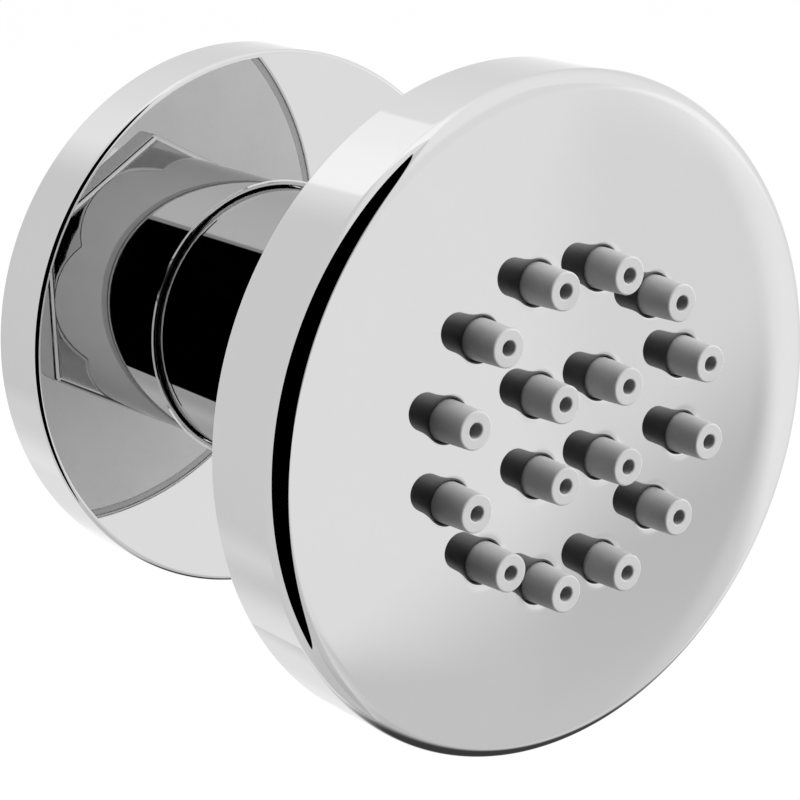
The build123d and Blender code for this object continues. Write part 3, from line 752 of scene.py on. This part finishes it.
# nozzle mat: one nozzle is turned and a node tree sets it on both rings
nozzle = {"foot": 46.2, "base": 47.0, "baseRadius": 1.85, "tip": 53.0, "tipRadius": 1.65, "tipRound": 0.18,
          "outlet": 0.65, "outletEdge": 0.15, "boreSlack": 1.02, "inlet": 1.0, "inletFront": 50.0, "around": 64,
          "matRadius": 18.525, "matBack": 45.6, "matRound": 0.2, "matAround": 128}
oneNozzle = turnPiece("oneNozzle", section(
    nozzle, ("inlet", "foot"), ("inlet", "inletFront"), ("outlet", "inletFront"), ("outlet", "tip", "outletEdge"),
    ("tipRadius", "tip", "tipRound"), ("baseRadius", "base"), ("baseRadius", "foot")), silicone, nozzle["around"])
# painted shade: the points inside the outlet bore are marked, and the silicone finish paints them dark
paintedBoreShade = oneNozzle.data.attributes.new("paintedBoreShade", "FLOAT", "POINT")
for vertex, shade in zip(oneNozzle.data.vertices, paintedBoreShade.data):
    shade.value = float(vertex.co.xz.length < nozzle["outlet"] * mm * nozzle["boreSlack"])
matDisc = turnPiece("matDisc", section(
    nozzle, ("matRadius", "matBack", "matRound"), (0, "matBack"), (0, "base"), ("matRadius", "base", "matRound")),
    silicone, nozzle["matAround"])
ringTree, given, out = newTree("nozzleRings", [
    ("Nozzle", "Object"), ("Mat", "Object"), *ringSockets, ("Material", "Material")])
stood = addNode(ringTree, "GeometryNodeInstanceOnPoints", {
    "Points": ringSpots(ringTree, given, False), "Instance": shapeOf(ringTree, given["Nozzle"])})
endTree(ringTree, joined(ringTree, stood.outputs[0], shapeOf(ringTree, given["Mat"])), given, out)
nozzleMat = grow("nozzleMat", ringTree, {"Nozzle": oneNozzle, "Mat": matDisc, **ringInputs, "Material": silicone})
for helper in (oneNozzle, matDisc):
    bpy.data.objects.remove(helper)
dress(nozzleMat, "nozzle_mat", "head")
print("nozzles:", len(nozzleMat.data.polygons), "faces")

# pieces inside keep their shape and get their finish
insideFinishes = {"flow_regulator": regulatorBlue, "regulator_ring": rubber, "ball_seat": seatWhite, "neck_nut": brass,
                  "spray_plate": plateGrey, "plate_screws": steel}
for node, finish in insideFinishes.items():
    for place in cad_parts[node].material_slots:
        place.material = finish


def heading(azimuth, elevation=0):  # degrees, 0 in front of the object
    swing, lift = radians(azimuth), radians(elevation)
    return Vector((sin(swing) * cos(lift), -cos(swing) * cos(lift), sin(lift)))


# pale floor and soft lamps, none of them mirrored in the chrome
stage = {"height": -0.12, "radius": 6.0, "sides": 96, "color": (0.86, 0.86, 0.86, 1), "white": 0.975}
corners = []
for k in range(stage["sides"]):
    angle = 2 * pi * k / stage["sides"]
    corners.append((stage["radius"] * cos(angle), stage["radius"] * sin(angle), stage["height"]))
floorMesh = bpy.data.meshes.new("floor")
floorMesh.from_pydata(corners, [], [list(range(stage["sides"]))])
floor = addObject("floor", floorMesh)
floor.visible_glossy = floor.visible_diffuse = False
floorFinish = bpy.data.materials.new("paleFloor")
floorFinish.use_nodes = True
tree = floorFinish.node_tree
tree.nodes.clear()
seen = addNode(tree, "ShaderNodeLightPath")
painted = addNode(tree, "ShaderNodeBsdfDiffuse", {"Color": stage["color"]})
glowing = addNode(tree, "ShaderNodeEmission", {"Color": (1, 1, 1, 1), "Strength": 1.0})
whiteShare = calc(tree, "MULTIPLY", seen.outputs["Is Camera Ray"], stage["white"])
mixed = addNode(tree, "ShaderNodeMixShader", {0: whiteShare, 1: painted.outputs[0], 2: glowing.outputs[0]})
plug(tree, mixed.outputs[0], addNode(tree, "ShaderNodeOutputMaterial").inputs[0])
floorMesh.materials.append(floorFinish)

lamps = {"key": {"azimuth": 42, "elevation": 34, "distance": 0.9, "size": 0.5, "power": 5.1},
         "top": {"azimuth": 150, "elevation": 70, "distance": 0.9, "size": 0.6, "power": 2.5}}
lampTarget = Vector((0, -30 * mm, 0))
for name, lamp in lamps.items():
    data = bpy.data.lights.new(name + "Lamp", "AREA")
    data.shape, data.size, data.energy = "DISK", lamp["size"], lamp["power"]
    made = addObject(name + "Lamp", data)
    aim = heading(lamp["azimuth"], lamp["elevation"])
    made.location = aim * lamp["distance"] + lampTarget
    made.rotation_mode = "QUATERNION"
    made.rotation_quaternion = aim.to_track_quat("Z", "Y")
    made.visible_glossy = False

# studio around the object: white for the camera, pale walls and a black card for what the chrome mirrors
studio = {"level": 0.96, "dull": 0.85}
panels = {  # middle, half width and soft edge in degrees, first around and then upwards, and the light added there
    "right": (92, 95, 14, 0, 90, 1, 0.34),
    "front": (2, 48, 8, -20, 60, 20, -0.12),
    "frontMiddle": (47, 3, 4, -15, 4, 15, -0.10),
    "frontRight": (62, 9, 8, 4, 6, 8, 0.16),
    "rightHigh": (80, 90, 10, 58, 34, 16, -0.04),
    "backPatch": (176, 13.5, 1.5, 41, 6, 1.5, 0.22),
    "softbox": (122, 4, 24, -2, 8, 20, 0.12),
    "leftSky": (-130, 70, 20, 90, 30, 14, 0.22),
    "under": (0, 180, 1, -90, 22, 14, -0.12),
    "backLow": (166, 14, 10, -38, 8, 8, 0.10),
    "backLowLeft": (-164, 8, 6, -29, 3, 6, 0.14),
    "backLowRight": (145, 6, 6, -25, 6, 8, -0.16),
}
lowFront = {"slants": (((47, -19.3), (35, -26.3)), ((62.8, -29), (50.8, -16))), "slantEdge": 0.044,
            "foot": (-36, -27, 0.22, 0.0), "across": (-24, 22), "depth": 0.3}  # a dimmer zone, two of its edges slanted
lowBack = {"middle": (114, -63), "inner": 18, "outer": 32, "depth": 0.92}  # a round dark zone
card = {"left": -94.0, "right": -8.8, "facing": -92, "foot": 1.95, "top": 9.0, "edge": 0.006, "footSoft": 2.2,
        "topSoft": 9, "stripWidth": 4.4, "stripDepth": 0.47}  # tall, its four edges straight, a grey strip beside it

dome, given, out = newGroup("studioDome", "Shader", [("Vector", "Vector")], [("Level", "Float")])
work = partial(calc, dome)
way = given["Vector"]
apart = addNode(dome, "ShaderNodeSeparateXYZ", {0: way}).outputs
around = work("MULTIPLY", work("ARCTAN2", apart[0], work("MULTIPLY", apart[1], -1.0)), 180 / pi)
upwards = work("MULTIPLY", work("ARCSINE", apart[2]), 180 / pi)


def along(axis):
    return addNode(dome, "ShaderNodeVectorMath", {0: way, 1: tuple(axis)}, operation="DOT_PRODUCT").outputs["Value"]


def within(axis, softness=1):  # 1 on the axis' side of a plane through the middle, with the card's soft edge
    return span(dome, along(axis), -card["edge"] * softness, card["edge"] * softness)


amount = studio["level"]
for middle, half, soft, height, reach, blur, light in panels.values():
    turned = work("ABSOLUTE", work("WRAP", work("SUBTRACT", around, middle), 180.0, -180.0))
    raised = work("ABSOLUTE", work("SUBTRACT", upwards, height))
    share = work("MULTIPLY", span(dome, turned, half, half + soft, 1.0, 0.0),
                 span(dome, raised, reach, reach + blur, 1.0, 0.0))
    amount = work("MULTIPLY_ADD", share, light, amount)
slopes = [heading(*first).cross(heading(*second)).normalized() for first, second in lowFront["slants"]]
upper, rightmost = (span(dome, along(slope), -lowFront["slantEdge"], lowFront["slantEdge"]) for slope in slopes)
upper = work("MAXIMUM", upper, span(dome, upwards, *lowFront["foot"]))
dimmed = work("MULTIPLY", work("MULTIPLY", upper, rightmost), span(dome, around, *lowFront["across"]))
amount = work("MULTIPLY_ADD", dimmed, -lowFront["depth"], amount)
spread = [cos(radians(lowBack[key])) for key in ("outer", "inner")]
shaded = span(dome, along(heading(*lowBack["middle"])), *spread)
amount = work("MULTIPLY", amount, work("MULTIPLY_ADD", shaded, -lowBack["depth"], 1.0))
outwards, upright = heading(card["facing"]), Vector((0, 0, 1))
tall = work("MULTIPLY", within(heading(card["left"] + 90)), work(
    "MULTIPLY", within(outwards * card["foot"] + upright, card["footSoft"]),
    within(outwards * card["top"] - upright, card["topSoft"])))
black = work("MULTIPLY", tall, within(heading(card["right"] - 90)))
strip = work("MULTIPLY", within(heading(card["right"] + card["stripWidth"] - 90)), card["stripDepth"])
covered = work("MAXIMUM", black, work("MULTIPLY", tall, strip))
plug(dome, work("MULTIPLY", amount, work("SUBTRACT", 1.0, covered)), out["Level"])

world = bpy.data.worlds.new("studio")
scene.world = world
world.use_nodes = True
tree = world.node_tree
tree.nodes.clear()
seen = addNode(tree, "ShaderNodeLightPath")
walls = addNode(tree, "ShaderNodeGroup", node_tree=dome)
plug(tree, addNode(tree, "ShaderNodeTexCoord").outputs["Generated"], walls.inputs["Vector"])
dull = addNode(tree, "ShaderNodeMix", {  # less light on what isn't polished
    0: seen.outputs["Is Diffuse Ray"], 2: 1.0, 3: studio["dull"]})
lit = calc(tree, "MULTIPLY", walls.outputs["Level"], dull.outputs[0])
shown = addNode(tree, "ShaderNodeMix", {0: seen.outputs["Is Camera Ray"], 2: lit, 3: 1.0})
sky = addNode(tree, "ShaderNodeBackground", {"Color": shown.outputs[0]})
plug(tree, sky.outputs[0], addNode(tree, "ShaderNodeOutputWorld").inputs[0])
print("studio: floor,", len(lamps), "lamps and the walls")

# camera at the photograph's angle, for a square picture
view = {"azimuth": -38.149, "elevation": 18.202, "roll": -1.282, "distance": 219.885,
        "target": (-2.801, -30.0, -1.764), "lens": 110.11, "sensor": 36.0, "clip": (0.005, 50.0)}
back, roll = heading(view["azimuth"], view["elevation"]), radians(view["roll"])
level = (-back).cross(Vector((0, 0, 1))).normalized()
upright = level.cross(-back)
right = level * cos(roll) + upright * sin(roll)
upward = upright * cos(roll) - level * sin(roll)
cameraData = bpy.data.cameras.new("camera")
cameraData.lens, cameraData.sensor_width = view["lens"], view["sensor"]
cameraData.clip_start, cameraData.clip_end = view["clip"]
camera = addObject("camera", cameraData)
camera.matrix_world = Matrix((right, upward, back)).transposed().to_4x4()
camera.location = (Vector(view["target"]) + back * view["distance"]) * mm
scene.camera = camera

scene.view_settings.view_transform = "Standard"
